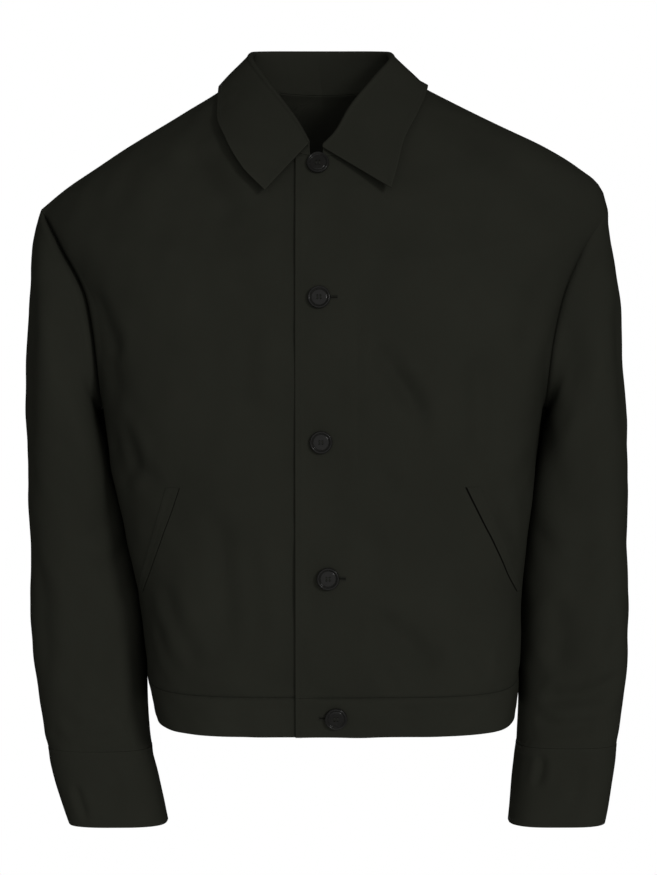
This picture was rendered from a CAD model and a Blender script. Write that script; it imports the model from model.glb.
import math

import bpy
import numpy as np
from mathutils import Matrix, Vector


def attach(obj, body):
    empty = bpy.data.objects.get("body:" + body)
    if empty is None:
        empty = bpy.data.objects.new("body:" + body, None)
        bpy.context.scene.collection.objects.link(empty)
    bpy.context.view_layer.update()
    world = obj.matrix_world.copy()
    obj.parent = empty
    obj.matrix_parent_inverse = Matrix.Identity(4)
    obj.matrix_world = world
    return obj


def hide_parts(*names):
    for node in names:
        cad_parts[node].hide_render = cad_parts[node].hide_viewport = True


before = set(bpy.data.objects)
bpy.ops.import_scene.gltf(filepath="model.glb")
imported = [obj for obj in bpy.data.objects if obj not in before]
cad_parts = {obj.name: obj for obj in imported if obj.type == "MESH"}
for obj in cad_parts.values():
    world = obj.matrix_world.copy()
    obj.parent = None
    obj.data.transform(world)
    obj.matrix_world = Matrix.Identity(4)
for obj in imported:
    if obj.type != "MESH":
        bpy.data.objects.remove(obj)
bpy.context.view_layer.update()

# ---- The two fronts
# Each front is one panel of heavy cotton twill, cut from the shoulder and the armhole down to the hem
# band, with a facing turned in along the opening. The left one laps over the right one. They are sewn
# to the back at the shoulders and sides, felled and then topstitched in a thread of the cloth's colour.
SIDES = {"right": -1.0, "left": 1.0}
FACES = {"front": -1.0, "back": 1.0}
CLOTH, DOUBLED = 0.0016, 0.0024
OVER_EDGE_X, UNDER_EDGE_X = -0.0232, 0.0200
OVER_LIFT, UNDER_DROP = 0.0015, 0.0014
LAP_PAST, LAP_FADE = 0.005, 0.030  # how far the lap goes on past the other front's edge, and then fades
HEM_MIDDLE, HEM_SIDE = -0.5713, -0.5575
BAND_MIDDLE, BAND_SIDE = -0.5355, -0.5235
UNDERARM_MIDDLE, UNDERARM = -0.3000, -0.2850
TIP_MIDDLE = {"front": -0.1500, "back": -0.1300}
NECK_MIDDLE = {"front": -0.0585, "back": 0.0030}
NECK_HALF_WIDTH = 0.0800
RISE_POWER = (1.3, 4.0)
SHOULDER_START = -0.2600
CREST = {"front": 2.0, "back": 2.4}
BODY_COLUMNS = ("height", "right", "left", "front", "back", "squareness")
BODY = (
    (-0.5750, 0.1510, 0.1760, 0.1225, 0.1130, 3.6),
    (-0.5352, 0.1580, 0.1788, 0.1290, 0.1200, 3.6),
    (-0.4977, 0.1618, 0.1798, 0.1310, 0.1220, 3.5),
    (-0.4608, 0.1654, 0.1802, 0.1320, 0.1235, 3.5),
    (-0.3964, 0.1791, 0.1880, 0.1335, 0.1260, 3.4),
    (-0.3506, 0.1882, 0.1938, 0.1340, 0.1280, 3.3),
    (-0.2850, 0.1995, 0.2020, 0.1340, 0.1310, 3.2),
    (-0.2350, 0.2105, 0.2130, 0.1335, 0.1350, 3.0),
    (-0.1870, 0.2230, 0.2265, 0.1320, 0.1360, 2.8),
    (-0.1365, 0.2500, 0.2530, 0.1280, 0.1330, 2.6),
    (-0.1046, 0.2720, 0.2750, 0.1250, 0.1290, 2.4),
    (-0.0500, 0.3000, 0.3000, 0.1190, 0.1210, 2.4),
    (0.0450, 0.3300, 0.3300, 0.1080, 0.1100, 2.4),
)
SHOULDER_COLUMNS = ("height", "right", "left")
SHOULDER = (
    (0.0400, 0.0000, 0.0000),
    (0.0125, 0.0800, 0.0800),
    (0.0030, 0.0930, 0.0985),
    (-0.0134, 0.1198, 0.1312),
    (-0.0316, 0.1500, 0.1690),
    (-0.0498, 0.1797, 0.2070),
    (-0.0681, 0.2075, 0.2362),
    (-0.0863, 0.2345, 0.2560),
    (-0.1046, 0.2567, 0.2615),
)
ARMHOLE_COLUMNS = ("height", "right_front", "right_back", "left_front", "left_back")
ARMHOLE = (
    (-0.2850, 0.1995, 0.1995, 0.2020, 0.2020),
    (-0.2350, 0.2035, 0.2040, 0.2060, 0.2065),
    (-0.1870, 0.2113, 0.2120, 0.2155, 0.2160),
    (-0.1365, 0.2372, 0.2380, 0.2380, 0.2390),
    (-0.1046, 0.2567, 0.2567, 0.2615, 0.2615),
)
SIDE_ROWS, ARMHOLE_ROWS, SHOULDER_ROWS = 54, 60, 42
FRONT_COLUMNS, CROWDING = 116, 1.5  # the columns crowd towards the side, the armhole and the shoulder seam
# The panels' creases, as the cloth hangs when it is worn: half width, depth, then x and z of three points
FRONT_CREASES = {
    "left": (
        (0.020, 0.0045, ((0.046, -0.218), (0.072, -0.256), (0.100, -0.292))),
        (0.024, 0.0045, ((0.143, -0.215), (0.146, -0.280), (0.147, -0.345))),
        (0.020, 0.0040, ((0.046, -0.455), (0.074, -0.486), (0.100, -0.522))),
        (0.009, 0.0026, ((0.044, -0.214), (0.064, -0.248), (0.098, -0.296))),
        (0.008, 0.0020, ((0.056, -0.236), (0.078, -0.272), (0.096, -0.318))),
        (0.008, 0.0018, ((0.050, -0.330), (0.058, -0.342), (0.068, -0.352))),
        (0.010, 0.0024, ((0.134, -0.226), (0.140, -0.280), (0.138, -0.336))),
        (0.008, 0.0020, ((0.146, -0.340), (0.160, -0.366), (0.176, -0.392))),
        (0.007, 0.0018, ((0.152, -0.372), (0.164, -0.388), (0.178, -0.404))),
        (0.009, 0.0028, ((0.044, -0.450), (0.066, -0.482), (0.096, -0.516))),
        (0.008, 0.0020, ((0.068, -0.466), (0.088, -0.492), (0.104, -0.512))),
        (0.007, 0.0022, ((0.055, -0.504), (0.062, -0.520), (0.066, -0.534))),
        (0.009, 0.0028, ((0.116, -0.476), (0.136, -0.500), (0.152, -0.516))),
        (0.012, 0.0020, ((0.205, -0.150), (0.185, -0.200), (0.172, -0.262))),
        (0.014, 0.0022, ((0.120, -0.050), (0.128, -0.110), (0.120, -0.180))),
        (0.010, 0.0016, ((0.030, -0.380), (0.046, -0.410), (0.050, -0.448))),
        (0.0045, 0.0010, ((0.0322, -0.165), (0.0325, -0.260), (0.0335, -0.360))),
    ),
    "right": (
        (0.026, 0.0040, ((-0.125, -0.045), (-0.100, -0.088), (-0.074, -0.130))),
        (0.026, 0.0040, ((-0.098, -0.360), (-0.090, -0.430), (-0.080, -0.500))),
        (0.018, 0.0040, ((-0.192, -0.300), (-0.178, -0.324), (-0.160, -0.345))),
        (0.011, 0.0020, ((-0.128, -0.040), (-0.098, -0.080), (-0.070, -0.124))),
        (0.009, 0.0024, ((-0.206, -0.170), (-0.190, -0.212), (-0.178, -0.240))),
        (0.009, 0.0022, ((-0.176, -0.284), (-0.164, -0.330), (-0.134, -0.352))),
        (0.010, 0.0020, ((-0.094, -0.360), (-0.086, -0.425), (-0.076, -0.494))),
        (0.010, 0.0016, ((-0.064, -0.380), (-0.060, -0.440), (-0.052, -0.512))),
        (0.010, 0.0022, ((-0.142, -0.430), (-0.128, -0.476), (-0.104, -0.516))),
        (0.008, 0.0016, ((-0.150, -0.464), (-0.140, -0.494), (-0.120, -0.522))),
        (0.012, 0.0018, ((-0.202, -0.200), (-0.186, -0.240), (-0.180, -0.285))),
        (0.010, 0.0014, ((-0.060, -0.190), (-0.066, -0.240), (-0.058, -0.300))),
    ),
}
RIPPLES = ((0.120, 0.0009), (0.060, 0.0006), (0.026, 0.00018))  # wavelength and height of the cloth's wander
RIPPLE_WAVES, RIPPLE_STRENGTH = 7, 1.3
RIPPLE_HEADING = (1.0, 1.0, 0.45)  # the ripples' crests stand more upright than level
CREASE_POINTS, CREASE_REACH = 13, 4  # points along a crease, and its reach in half widths
CREASE_TAPER = 0.3  # the share of its length over which each end of a crease fades
END_WIDTH, ADDED_WIDTH = 0.7, 0.3  # the share of its width that a crease has at its ends, and the rest
RIDGE_OFF, RIDGE_WIDTH, RIDGE_HEIGHT = 1.9, 0.8, 0.28  # the ridge beside a crease, as shares of it
# How far the seams are drawn in: depth, half width, the share of the seam over which it starts, and which way
SEAM_SINK = {
    "left": (0.0050, 0.0022, 0.45, 1.0),
    "right": (0.0130, 0.0026, 0.10, 1.0),
    "behind": (0.0030, 0.0030, 0.10, -1.0),
    "hem_front": (0.0016, 0.0016, 0.06, 1.0),
    "hem_back": (0.0012, 0.0016, 0.06, -1.0),
}
SINK_REACH, SINK_END = 3, 0.06  # its reach in half widths, and the share of the seam that its end fades over
SEAM_HOLD = 0.014  # how far from a seam the cloth is still held by it
EDGE_LINES = (0.0, 0.00020, 0.00050, 0.00110, 0.00190)
EDGE_ROUND, EDGE_SHARE = 0.0005, 0.55


def smooth(places, values):
    """A function that runs through the values at the places with no overshoot between them."""
    order = np.argsort(places)
    x, y = np.asarray(places, float)[order], np.asarray(values, float)[order]
    step = np.diff(x)
    slope = np.diff(y) / step
    near, far = 2 * step[1:] + step[:-1], step[1:] + 2 * step[:-1]
    same = slope[:-1] * slope[1:] > 0
    first, second = np.where(same, slope[:-1], 1.0), np.where(same, slope[1:], 1.0)
    inside = np.where(same, (near + far) / (near / first + far / second), 0.0)
    tangent = np.concatenate([slope[:1], inside, slope[-1:]])

    def value(at):
        at = np.clip(at, x[0], x[-1])
        i = np.minimum(np.searchsorted(x, at, side="right") - 1, len(step) - 1)
        t = (at - x[i]) / step[i]
        rise = (1 + 2 * t) * (1 - t) ** 2 * y[i] + t * t * (3 - 2 * t) * y[i + 1]
        return rise + step[i] * t * (1 - t) * ((1 - t) * tangent[i] - t * tangent[i + 1])

    return value


def column(columns, table, name):
    """One column of a table."""
    return np.array([row[columns.index(name)] for row in table])


def by_height(columns, table):
    """Each column of a table as a smooth function of the height."""
    heights = column(columns, table, "height")
    return {name: smooth(heights, column(columns, table, name)) for name in columns[1:]}


def fade(t):
    """0 up to t = 0, 1 from t = 1 on, smooth between."""
    t = np.clip(t, 0.0, 1.0)
    return t * t * (3 - 2 * t)


def unit(vectors):
    return vectors / np.maximum(np.linalg.norm(vectors, axis=-1, keepdims=True), 1e-12)


body = by_height(BODY_COLUMNS, BODY)
armhole = by_height(ARMHOLE_COLUMNS, ARMHOLE)
shoulder = {
    side: smooth(column(SHOULDER_COLUMNS, SHOULDER, side), column(SHOULDER_COLUMNS, SHOULDER, "height"))
    for side in SIDES
}
shoulder_tip = {side: column(SHOULDER_COLUMNS, SHOULDER, side)[-1] for side in SIDES}


def middle_x(z):
    return (body["left"](z) - body["right"](z)) / 2


def half_width(z):
    return (body["left"](z) + body["right"](z)) / 2


def crest_at(x):
    return np.where(x > 0, shoulder["left"](np.abs(x)), shoulder["right"](np.abs(x)))


def on_body(x, z, face):
    """The point of the body's front or back at this place of the front view."""
    square = body["squareness"](z)
    across = np.minimum(np.abs(x - middle_x(z)) / half_width(z), 1.0)
    section = (1 - across**square) ** (1 / square)
    up = np.clip((z - SHOULDER_START) / (crest_at(x) - SHOULDER_START), 0.0, 1.0)
    lean = (1 - up ** CREST[face]) ** (1 / CREST[face])
    return np.stack(np.broadcast_arrays(x, FACES[face] * body[face](z) * section * lean, z), axis=-1)


def body_rows():
    """Where the rows lie: 0 at the hem band's seam, 1 underarm, 2 at the shoulder tip, 3 at the neckline."""
    parts = [k + np.arange(n) / n for k, n in enumerate((SIDE_ROWS, ARMHOLE_ROWS, SHOULDER_ROWS))]
    return np.concatenate([*parts, [3.0]])


def row_ends(face, rows):
    """The height of each row at the middle, and for each side where it ends."""
    part = np.minimum(rows.astype(int), 2)
    t = rows - part
    levels = (BAND_MIDDLE, UNDERARM_MIDDLE, TIP_MIDDLE[face], NECK_MIDDLE[face])
    low, high = np.take(levels, part), np.take(levels, part + 1)
    side_z = BAND_SIDE + (UNDERARM - BAND_SIDE) * t
    even = (t + (1 - np.cos(np.pi * t)) / 2) / 2
    arm_z = UNDERARM + (column(SHOULDER_COLUMNS, SHOULDER, "height")[-1] - UNDERARM) * even
    ends = {}
    for side, sign in SIDES.items():
        top_x = shoulder_tip[side] + (NECK_HALF_WIDTH - shoulder_tip[side]) * t
        x = np.choose(
            part,
            [
                sign * half_width(side_z) + middle_x(side_z),
                sign * armhole[f"{side}_{face}"](arm_z),
                sign * top_x,
            ],
        )
        ends[side] = (x, np.choose(part, [side_z, arm_z, shoulder[side](top_x)]))
    return low + (high - low) * t, ends


def turn_of(x, z, side):
    """The angle round the body at which the section at this height passes x."""
    return np.arcsin(np.clip(SIDES[side] * (x - middle_x(z)) / half_width(z), -1.0, 1.0))


def half_rows(face, side, start_x, middle, end, columns):
    """Rows of points from start_x out to where each row ends on one side."""
    first, last = turn_of(start_x, middle, side), turn_of(*end, side)
    share = 1 - (1 - np.arange(columns + 1) / columns) ** CROWDING
    turn = first[:, None] + (last - first)[:, None] * share
    low, high = RISE_POWER
    power = low + (high - low) * fade((UNDERARM_MIDDLE - middle) / (UNDERARM_MIDDLE - HEM_MIDDLE))
    rise = (1 - np.cos(np.pi / 2 * np.maximum(turn, 0.0) / last[:, None])) ** power[:, None]
    z = middle[:, None] + (end[1] - middle)[:, None] * rise
    x = middle_x(z) + SIDES[side] * half_width(z) * np.sin(turn)
    points = on_body(x, z, face)
    points[:, -1] = on_body(*end, face)
    return points


def lapped(points, side):
    """The points moved out or in where the two fronts lap."""
    if side == "left":
        shift = -OVER_LIFT * fade((UNDER_EDGE_X + LAP_PAST + LAP_FADE - points[..., 0]) / LAP_FADE)
    else:
        shift = UNDER_DROP * fade((points[..., 0] - OVER_EDGE_X + LAP_PAST + LAP_FADE) / LAP_FADE)
    return points + shift[..., None] * np.array([0.0, 1.0, 0.0])


def facing(grid, outward, wraps):
    """The outward normal at each point of a grid."""
    along = np.gradient(grid, axis=0)
    if wraps:
        across = np.roll(grid, -1, axis=1) - np.roll(grid, 1, axis=1)
    else:
        across = np.gradient(grid, axis=1)
    return unit(np.cross(across, along)) * outward


def reach_along(grid, axis):
    """The length of cloth from the first line of a grid to each point, along one axis."""
    step = np.linalg.norm(np.diff(grid, axis=axis), axis=-1)
    start = np.zeros_like(step[:1] if axis == 0 else step[:, :1])
    return np.cumsum(np.concatenate([start, step], axis=axis), axis=axis)


def to_edge(grid, wraps):
    """How far each point lies from the nearest edge of its panel."""
    down = reach_along(grid, 0)
    near = np.minimum(down, down[-1:] - down)
    if not wraps:
        over = reach_along(grid, 1)
        near = np.minimum(near, np.minimum(over, over[:, -1:] - over))
    return near


ripple_draw = np.random.default_rng(11)
ripple_waves = []
for ripple_length, ripple_height in RIPPLES:
    for _ in range(RIPPLE_WAVES):
        heading = unit(ripple_draw.normal(size=3) * np.array(RIPPLE_HEADING))
        ripple_waves.append(
            (heading * 2 * np.pi / ripple_length, ripple_draw.uniform(0, 2 * np.pi), ripple_height)
        )


def rippled(points):
    """How far the cloth wanders out of its plain shape at each point."""
    waves = [height * np.sin(points @ heading + start) for heading, start, height in ripple_waves]
    return sum(waves) / math.sqrt(RIPPLE_WAVES) * RIPPLE_STRENGTH


def off_line(places, line):
    """How far each place lies off a line, and how far along the line, from 0 to 1."""
    best, along = np.full(len(places), 1e9), np.zeros(len(places))
    for k in range(len(line) - 1):
        run = line[k + 1] - line[k]
        t = np.clip((places - line[k]) @ run / (run @ run), 0.0, 1.0)
        off = np.linalg.norm(places - line[k] - t[:, None] * run, axis=1)
        closer = off < best
        best = np.where(closer, off, best)
        along = np.where(closer, (k + t) / (len(line) - 1), along)
    return best, along


def crease_push(points, creases):
    """How far the creases move each point along its normal. A crease is half width, depth and a line."""
    push = np.zeros(points.shape[:-1])
    for half, depth, line in creases:
        reach = CREASE_REACH * half
        near = ((points > line.min(0) - reach) & (points < line.max(0) + reach)).all(-1)
        best, along = off_line(points[near], line)
        taper = fade(along / CREASE_TAPER) * fade((1 - along) / CREASE_TAPER)
        width = half * (END_WIDTH + ADDED_WIDTH * taper)
        trough = np.exp(-((best / width) ** 2))
        ridge = np.exp(-(((best - RIDGE_OFF * width) / (RIDGE_WIDTH * width)) ** 2))
        push[near] += depth * taper * (RIDGE_HEIGHT * ridge - trough)
    return push


def body_creases(table, face):
    """A table's creases as lines on the body's front or back."""
    lines = []
    for half, depth, places in table:
        x, z = np.array(places).T
        at = np.linspace(0, len(x) - 1, CREASE_POINTS)
        steps = np.arange(len(x))
        lines.append((half, depth, on_body(smooth(steps, x)(at), smooth(steps, z)(at), face)))
    return lines


def hung(grid, outward, wraps, creases, free=1.0):
    """The plain shape with its creases and its wander, held at its seams and where it isn't free."""
    held = fade(to_edge(grid, wraps) / SEAM_HOLD)
    push = (crease_push(grid, creases) + rippled(grid) * free) * held
    return grid + facing(grid, outward, wraps) * push[..., None]


def with_edge_lines(grid, wraps):
    """The grid with lines set close to its edges, so that the wall can round off there."""
    for axis in (0,) if wraps else (0, 1):
        lines = grid if axis == 0 else grid.swapaxes(0, 1)
        ends = []
        for edge, inside in ((lines[0], lines[1]), (lines[-1], lines[-2])):
            room = np.linalg.norm(inside - edge, axis=-1) / 2
            share = np.minimum(1.0, room / EDGE_LINES[-1])[:, None]
            ends.append([edge + unit(inside - edge) * place * share for place in EDGE_LINES])
        lines = np.concatenate([ends[0], lines[1:-1], ends[1][::-1]])
        grid = lines if axis == 0 else lines.swapaxes(0, 1)
    return grid


def quads(*corners):
    return np.stack(corners, axis=-1).reshape(-1, 4)


def wall_faces(index, wraps):
    """The faces of a closed wall: outside, inside and the edges between them."""
    outer, inner = index
    faces = [
        quads(outer[:-1, :-1], outer[1:, :-1], outer[1:, 1:], outer[:-1, 1:]),
        quads(inner[:-1, :-1], inner[:-1, 1:], inner[1:, 1:], inner[1:, :-1]),
        quads(inner[0, :-1], outer[0, :-1], outer[0, 1:], inner[0, 1:]),
        quads(outer[-1, :-1], inner[-1, :-1], inner[-1, 1:], outer[-1, 1:]),
    ]
    if not wraps:
        faces.append(quads(outer[:-1, 0], inner[:-1, 0], inner[1:, 0], outer[1:, 0]))
        faces.append(quads(inner[:-1, -1], outer[:-1, -1], outer[1:, -1], inner[1:, -1]))
    return np.concatenate(faces)


def sunk(grid, line, kind):
    """The grid drawn into the jacket along a seam, on both sides of it alike."""
    depth, half, start, way = SEAM_SINK[kind]
    reach = SINK_REACH * half
    near = ((grid > line.min(0) - reach) & (grid < line.max(0) + reach)).all(-1)
    off, along = off_line(grid[near], line)
    drawn = depth * np.exp(-((off / half) ** 2)) * fade(along / start) * fade((1 - along) / SINK_END)
    grid = grid.copy()
    grid[near] += drawn[:, None] * np.array([0.0, way, 0.0])
    return grid


def placed(name, data):
    """An object with this mesh, lamp or camera, put in the scene."""
    thing = bpy.data.objects.new(name, data)
    bpy.context.scene.collection.objects.link(thing)
    return thing


def cloth_wall(name, grid, outward, thickness, wraps=False, sinks=()):
    """A closed wall of cloth round a grid, rounded at its edges. Also gives back its outer surface."""
    grid = with_edge_lines(grid, wraps)
    for line, kind in sinks:
        grid = sunk(grid, line, kind)
    rows, columns = grid.shape[:2]
    normals = facing(grid, outward, wraps)
    edge = to_edge(grid, wraps)
    bow = np.sqrt(1 - (1 - np.clip(edge / EDGE_ROUND, 0.0, 1.0)) ** 2)
    half = (thickness / 2 * (EDGE_SHARE + (1 - EDGE_SHARE) * bow))[..., None]
    outer, inner = grid + normals * half, grid - normals * half
    index = np.arange(2 * rows * columns).reshape(2, rows, columns)
    closed = np.concatenate([grid, grid[:, :1]], axis=1) if wraps else grid
    across, up = reach_along(closed, 1), reach_along(closed, 0)
    places = np.stack([across, up], axis=-1).reshape(-1, 2)
    place_index = np.arange(len(places)).reshape(1, rows, -1).repeat(2, axis=0)
    if wraps:
        index = np.concatenate([index, index[:, :, :1]], axis=2)
    faces, corners = wall_faces(index, wraps), wall_faces(place_index, wraps)
    if outward > 0:
        faces, corners = faces[:, ::-1], corners[:, ::-1]
    mesh = bpy.data.meshes.new(name)
    mesh.from_pydata(np.concatenate([outer.reshape(-1, 3), inner.reshape(-1, 3)]), [], faces)
    flat_places = mesh.uv_layers.new(name="cut")
    flat_places.data.foreach_set("uv", places[corners.reshape(-1)].astype(np.float32).reshape(-1))
    distance = mesh.attributes.new("edge", "FLOAT", "POINT")
    distance.data.foreach_set("value", np.tile(edge.reshape(-1), 2).astype(np.float32))
    mesh.shade_smooth()
    return placed(name, mesh), (outer, normals)


def new_group(name, inputs, outputs):
    """A shader node group with its sockets, and its input and output nodes."""
    group = bpy.data.node_groups.new(name, "ShaderNodeTree")
    for label, kind, value in inputs:
        socket = group.interface.new_socket(label, in_out="INPUT", socket_type=kind)
        if value is not None:
            socket.default_value = value
    for label, kind in outputs:
        group.interface.new_socket(label, in_out="OUTPUT", socket_type=kind)
    return group, group.nodes.new("NodeGroupInput"), group.nodes.new("NodeGroupOutput")


def node(tree, kind, links=(), **settings):
    """A node with its settings, its plain input values and its links, which are (input, output socket)."""
    made = tree.nodes.new(kind)
    for label, value in settings.items():
        setattr(made, label, value)
    for socket, source in links:
        if isinstance(source, (int, float, tuple)):
            made.inputs[socket].default_value = source
        else:
            tree.links.new(source, made.inputs[socket])
    return made


def combined(tree, operation, first, second):
    """Two values put together by a Math node."""
    return node(tree, "ShaderNodeMath", [(0, first), (1, second)], operation=operation).outputs[0]


def mapped(tree, value, span, becomes, **settings):
    """A value whose span is stretched onto another one, and held inside it."""
    links = [("Value", value), ("From Min", span[0]), ("From Max", span[1])]
    links += [("To Min", becomes[0]), ("To Max", becomes[1])]
    return node(tree, "ShaderNodeMapRange", links, **settings).outputs["Result"]


def clouded(tree, scale, detail, roughness=0.5, place=None):
    """A value that clouds from place to place."""
    links = [("Scale", scale), ("Detail", detail), ("Roughness", roughness)]
    if place is not None:
        links.append(("Vector", place))
    return node(tree, "ShaderNodeTexNoise", links).outputs["Fac"]


def between(tree, share, first, second, **settings):
    """The colour at this share of the way from one colour to another."""
    links = [(0, share), (6, (*first, 1.0)), (7, (*second, 1.0))]
    return node(tree, "ShaderNodeMix", links, data_type="RGBA", **settings).outputs[2]


def new_material(name):
    """A material with its node tree and its shader."""
    material = bpy.data.materials.new(name)
    material.use_nodes = True
    return material, material.node_tree, material.node_tree.nodes["Principled BSDF"]


TWILL_PITCH = 0.00058  # between two of the weave's slanting ribs
weave, weave_in, weave_out = new_group(
    "twill_weave",
    (("Place", "NodeSocketVector", None), ("Fineness", "NodeSocketFloat", 1.0)),
    (("Height", "NodeSocketFloat"), ("Shade", "NodeSocketFloat")),
)
slub = clouded(weave, 900.0, 3.0, 0.7, weave_in.outputs["Place"])
ribs = node(
    weave,
    "ShaderNodeTexWave",
    [
        ("Vector", weave_in.outputs["Place"]),
        ("Scale", 2 * math.pi / (10 * TWILL_PITCH)),
        ("Distortion", 1.6),
        ("Detail", 1.0),
    ],
    wave_type="BANDS",
    bands_direction="DIAGONAL",
)
rib_height = combined(weave, "MULTIPLY", ribs.outputs["Fac"], weave_in.outputs["Fineness"])
weave_height = combined(weave, "ADD", rib_height, slub)
weave_shade = mapped(weave, weave_height, (0.2, 1.5), (0.80, 1.16))
weave.links.new(weave_height, weave_out.inputs["Height"])
weave.links.new(weave_shade, weave_out.inputs["Shade"])

PUCKER_REACH, RUBBED_REACH = (0.0005, 0.010), (0.0002, 0.0016)  # how far in from an edge each dies out
seam_wear, wear_in, wear_out = new_group(
    "seam_wear",
    (
        ("Place", "NodeSocketVector", None),
        ("Edge", "NodeSocketFloat", 0.01),
        ("Pale", "NodeSocketFloat", 0.3),
    ),
    (("Height", "NodeSocketFloat"), ("Shade", "NodeSocketFloat")),
)
wear_place, wear_edge = wear_in.outputs["Place"], wear_in.outputs["Edge"]
pucker = clouded(seam_wear, 140.0, 1.0, 0.4, wear_place)
pucker_reach = mapped(seam_wear, wear_edge, PUCKER_REACH, (1.0, 0.0), interpolation_type="SMOOTHSTEP")
pucker_height = combined(seam_wear, "MULTIPLY", pucker, pucker_reach)
rubbed_reach = mapped(seam_wear, wear_edge, RUBBED_REACH, (1.0, 0.0))
rubbed = combined(seam_wear, "MULTIPLY", rubbed_reach, wear_in.outputs["Pale"])
drift = clouded(seam_wear, 9.0, 4.0, 0.55, wear_place)
drift_shade = mapped(seam_wear, drift, (0.3, 0.7), (0.93, 1.07))
wear_shade = combined(seam_wear, "ADD", drift_shade, rubbed)
seam_wear.links.new(pucker_height, wear_out.inputs["Height"])
seam_wear.links.new(wear_shade, wear_out.inputs["Shade"])

TWILL_COLOUR = (0.0139, 0.0143, 0.0111)
BRIGHTEST = 1.5  # a little over the highest shade that the weave and the wear give


def cloth_material(name, colour, pale=0.10, roughness=0.88):
    """Twill in its own colour, with the weave, the pucker at the seams and a little rubbing on the edges."""
    material, tree, shader = new_material(name)
    place = node(tree, "ShaderNodeUVMap", uv_map="cut").outputs["UV"]
    distance = node(tree, "ShaderNodeAttribute", attribute_name="edge").outputs["Fac"]
    twill = node(tree, "ShaderNodeGroup", [("Place", place)], node_tree=weave)
    wear_links = [("Place", place), ("Edge", distance), ("Pale", pale)]
    wear = node(tree, "ShaderNodeGroup", wear_links, node_tree=seam_wear)
    shade = combined(tree, "MULTIPLY", twill.outputs["Shade"], wear.outputs["Shade"])
    share = combined(tree, "MULTIPLY", shade, 1 / BRIGHTEST)
    brightest = tuple(BRIGHTEST * part for part in colour)
    dyed = between(tree, share, (0.0, 0.0, 0.0), brightest, clamp_factor=False)
    tree.links.new(dyed, shader.inputs["Base Color"])
    raised = node(
        tree,
        "ShaderNodeBump",
        [("Strength", 0.35), ("Distance", 0.00022), ("Height", twill.outputs["Height"])],
    )
    puckered = node(
        tree,
        "ShaderNodeBump",
        [
            ("Strength", 0.5),
            ("Distance", 0.0014),
            ("Height", wear.outputs["Height"]),
            ("Normal", raised.outputs["Normal"]),
        ],
    )
    tree.links.new(puckered.outputs["Normal"], shader.inputs["Normal"])
    shader.inputs["Roughness"].default_value = roughness
    shader.inputs["Specular IOR Level"].default_value = 0.0
    return material


twill_cloth = cloth_material("olive_black_twill", TWILL_COLOUR)

thread_material, thread_tree, thread_shader = new_material("matching_thread")
thread_twist = clouded(thread_tree, 2200.0, 1.0)
thread_colour = between(thread_tree, thread_twist, (0.0070, 0.0072, 0.0055), (0.0115, 0.0120, 0.0090))
thread_tree.links.new(thread_colour, thread_shader.inputs["Base Color"])
thread_shader.inputs["Roughness"].default_value = 0.6
thread_shader.inputs["Specular IOR Level"].default_value = 0.1

PITCH, STITCH = 0.0029, 0.0022
THREAD, THREAD_TOP = 0.00036, 0.6  # the thread's width, and its top's share of that
THREAD_RISE, THREAD_DIP = 0.00012, 0.00015
STITCH_SECTIONS = ((-0.5, 0.55, 0.15), (0.0, 1.0, 1.0), (0.5, 0.55, 0.15))  # shares: place, width, rise
EDGE_STITCH, TOP_STITCH, FACING_STITCH = 0.0022, 0.0050, 0.0560  # how far in from its edge a row runs
OPENING_SPAN, FACING_SPAN = (0.0, 0.985), (0.0, 0.86)  # the share of the opening that a row runs along


def inset(surface, edge, distance, span=(0.0, 1.0)):
    """The line on a surface that runs at a distance inside one of its edges, with its normals."""
    points, normals = surface
    if edge.endswith("row"):
        points, normals = points.swapaxes(0, 1), normals.swapaxes(0, 1)
    if edge.startswith("last"):
        points, normals = points[:, ::-1], normals[:, ::-1]
    reach = reach_along(points, 1)
    low, high = (int(round(share * (len(points) - 1))) for share in span)
    keep = range(low, high + 1)
    line = [[np.interp(distance, reach[i], points[i, :, a]) for a in range(3)] for i in keep]
    up = [[np.interp(distance, reach[i], normals[i, :, a]) for a in range(3)] for i in keep]
    return np.array(line), unit(np.array(up))


def sewn(name, lines, pitch=PITCH, length=STITCH, across=False):
    """Stitches in a row along each line: short threads that dip into the cloth at both ends."""
    shape = []
    for place, wide, high in STITCH_SECTIONS:
        w, rise = THREAD / 2 * wide, THREAD_RISE * high
        shape += [(place, w, -THREAD_DIP), (place, w * THREAD_TOP, rise)]
        shape += [(place, -w * THREAD_TOP, rise), (place, -w, -THREAD_DIP)]
    faces = [(0, 1, 2, 3), (11, 10, 9, 8)]
    for k in (0, 4):
        faces += [(k + a, k + 4 + a, k + 4 + (a + 1) % 4, k + (a + 1) % 4) for a in range(4)]
    faces = np.array(faces)
    blocks, all_faces, first = [], [], 0
    for line, up in lines:
        reach = reach_along(line, 0)
        at = np.arange(pitch / 2, reach[-1], pitch)
        seat, after, before = (
            np.stack([np.interp(where, reach, line[:, a]) for a in range(3)], axis=1)
            for where in (at, at + 1e-4, at - 1e-4)
        )
        out = unit(np.stack([np.interp(at, reach, up[:, a]) for a in range(3)], axis=1))
        side = unit(np.cross(out, unit(after - before)))
        run = np.cross(side, out)
        if across:
            run, side = side, -run
        stitches = [seat + run * place * length + side * w + out * h for place, w, h in shape]
        blocks.append(np.stack(stitches, axis=1).reshape(-1, 3))
        starts = first + np.arange(len(at)) * len(shape)
        all_faces.append((starts[:, None, None] + faces).reshape(-1, 4))
        first += len(blocks[-1])
    mesh = bpy.data.meshes.new(name)
    mesh.from_pydata(np.concatenate(blocks), [], np.concatenate(all_faces))
    mesh.materials.append(thread_material)
    mesh.shade_smooth()
    thing = placed(name, mesh)
    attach(thing, "root")
    return thing


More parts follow.
